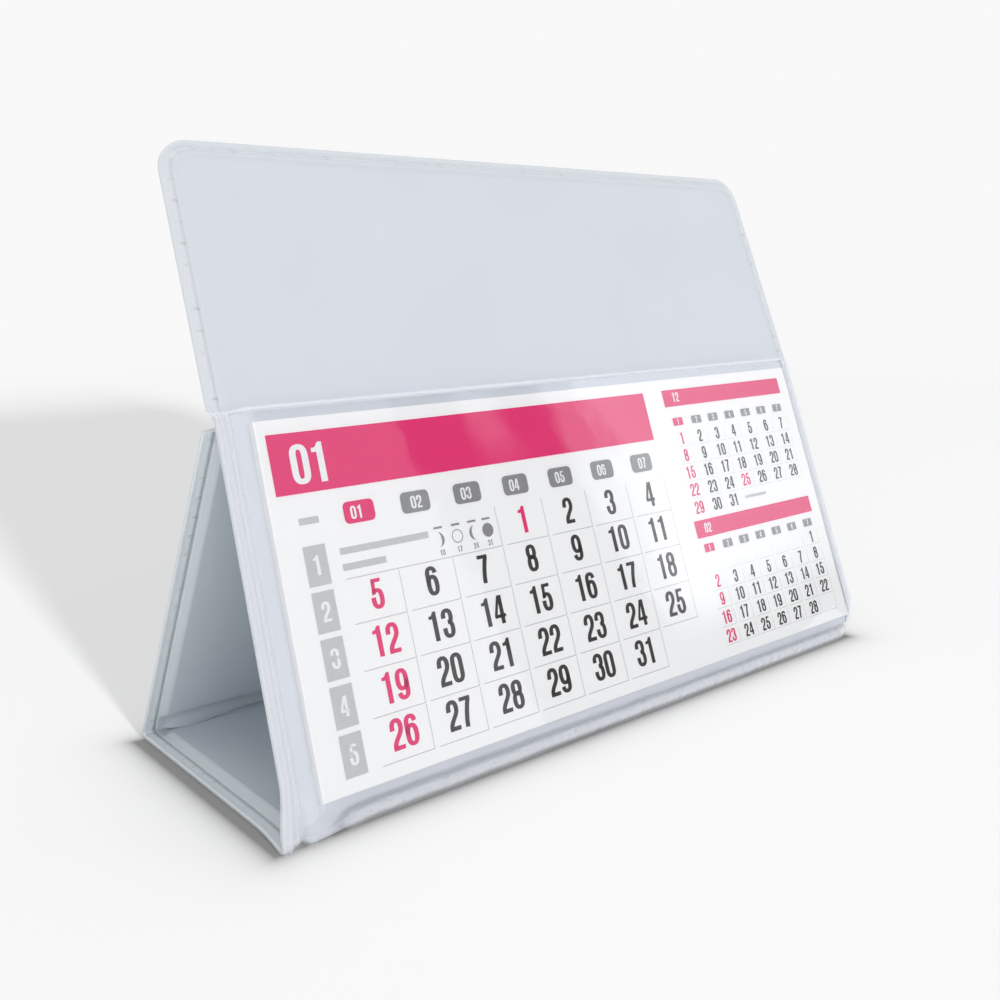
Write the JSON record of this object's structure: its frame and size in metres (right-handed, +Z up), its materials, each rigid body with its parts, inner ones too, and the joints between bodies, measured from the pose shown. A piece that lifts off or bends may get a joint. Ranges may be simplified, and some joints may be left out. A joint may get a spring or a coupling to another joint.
{
  "type": "desk calendar",
  "caption": "Folded white vinyl desk calendar: a board-stiffened strip bent into a triangular stand, with month cards in a clear pocket on its leaning front.",
  "frame": {"origin": "middle of the footprint's box, on the table", "axes": "+X along the width to the viewer's right, -Y the printed front, +Z up"},
  "size_m": [0.2, 0.07, 0.1416],
  "materials": {
    "vinyl": "satin white PVC sheet",
    "board": "grey bookbinding board",
    "film": "clear glossy PVC film",
    "card": "white coated card",
    "pink_ink": "printed pink field",
    "grey_ink": "printed grey field",
    "pale_grey_ink": "printed pale grey field"
  },
  "bodies": {
    "root": {"outer_cover": "vinyl", "inner_lining": "vinyl", "front_board": "board", "base_board": "board", "back_board": "board", "tongue_strap": "vinyl", "clear_pocket": "film", "month_card_1": "card", "month_card_2": "card", "month_card_3": "card", "month_card_4": "card", "month_card_5": "card", "month_card_6": "card", "month_banner": "pink_ink", "side_banner_1": "pink_ink", "side_banner_2": "pink_ink", "day_tab_1": "pink_ink", "day_tab_2": "grey_ink", "day_tab_3": "grey_ink", "day_tab_4": "grey_ink", "day_tab_5": "grey_ink", "day_tab_6": "grey_ink", "day_tab_7": "grey_ink", "week_field_1": "pale_grey_ink", "week_field_2": "pale_grey_ink", "week_field_3": "pale_grey_ink", "week_field_4": "pale_grey_ink", "week_field_5": "pale_grey_ink"}
  },
  "joints": []
}
